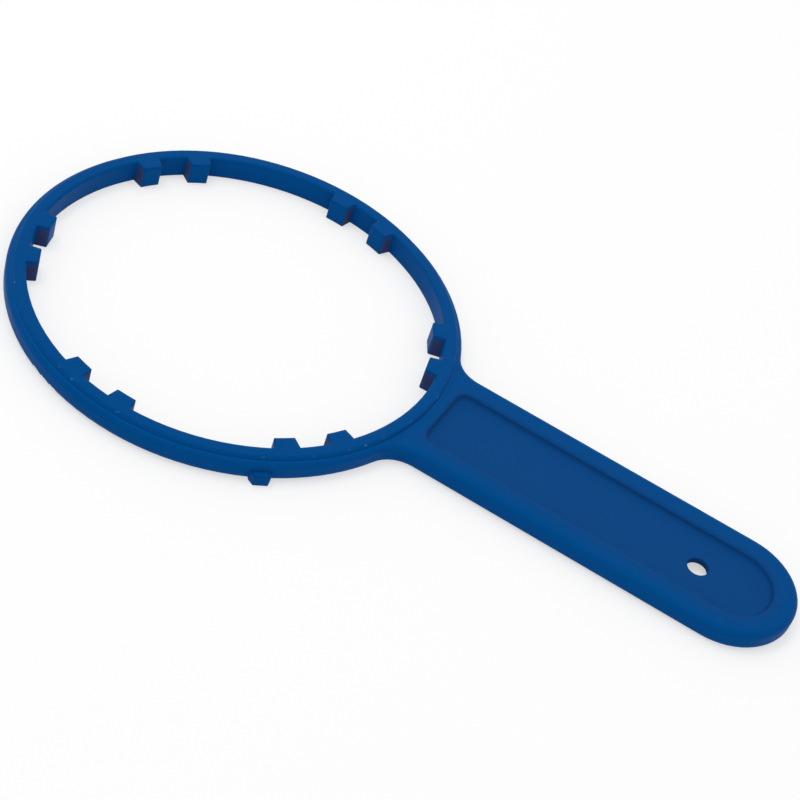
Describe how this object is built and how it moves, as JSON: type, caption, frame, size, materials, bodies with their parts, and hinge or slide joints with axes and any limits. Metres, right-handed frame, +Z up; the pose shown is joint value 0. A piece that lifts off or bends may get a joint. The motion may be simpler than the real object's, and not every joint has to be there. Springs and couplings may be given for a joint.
{
  "type": "filter housing wrench",
  "caption": "Flat one-piece plastic wrench: a hoop with paired teeth inside grips the ribbed nut of a water filter housing, and a recessed round-ended handle with a hanging hole turns it.",
  "frame": {"origin": "centre of the toothed ring, on the plane of the underside that the wrench lies on", "axes": "+X from the ring centre along the handle, +Z up from the underside, through the ring"},
  "size_m": [0.25, 0.135, 0.0072],
  "materials": {
    "blue_plastic": "satin moulded plastic, coloured right through"
  },
  "bodies": {
    "root": {"wrench": "blue_plastic"}
  },
  "joints": []
}
